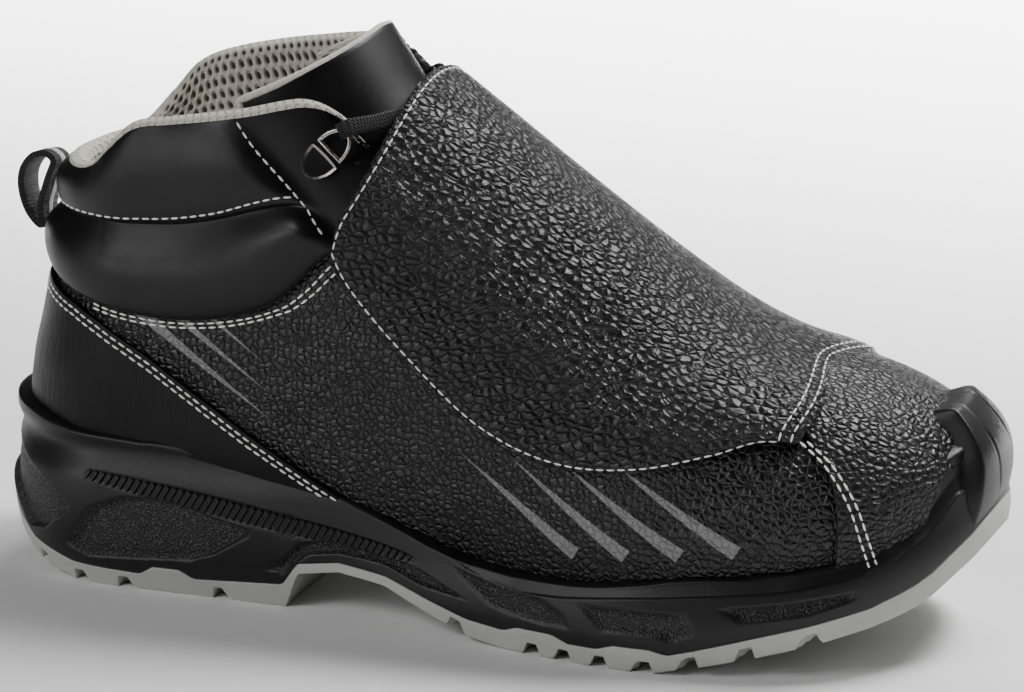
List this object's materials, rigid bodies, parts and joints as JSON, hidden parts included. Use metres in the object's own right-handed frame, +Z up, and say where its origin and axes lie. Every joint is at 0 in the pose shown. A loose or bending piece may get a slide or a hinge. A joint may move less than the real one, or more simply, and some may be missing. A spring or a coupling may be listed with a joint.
{
  "type": "metatarsal guard boot",
  "caption": "Ankle-high right safety boot in black leather with a broad instep flap, padded collar, heel pull loop and a layered, lugged sole.",
  "frame": {"origin": "on the floor, under the middle of the boot's bounding box", "axes": "+X runs from the heel to the toe, +Y to the inner side of the foot, +Z up from the floor"},
  "size_m": [0.3044, 0.1104, 0.1679],
  "materials": {
    "outsole_rubber": "matt light grey rubber",
    "midsole_foam": "matt black moulded polyurethane",
    "insole_cloth": "dark grey woven cover over foam",
    "upper_leather": "black grained leather, satin",
    "smooth_leather": "black smooth leather, satin",
    "webbing": "black woven webbing",
    "lace_cord": "black flat braid",
    "ring_metal": "dark plated metal, polished"
  },
  "bodies": {
    "root": {"outsole": "outsole_rubber", "midsole": "midsole_foam", "insole": "insole_cloth", "upper": "upper_leather", "toe_cap": "upper_leather", "heel_counter": "smooth_leather", "collar_cuff": "smooth_leather", "tongue": "smooth_leather", "metatarsal_guard": "upper_leather", "pull_loop": "webbing", "lace_ring_outer": "ring_metal", "lace_ring_inner": "ring_metal", "lace_bar": "lace_cord"}
  },
  "joints": []
}
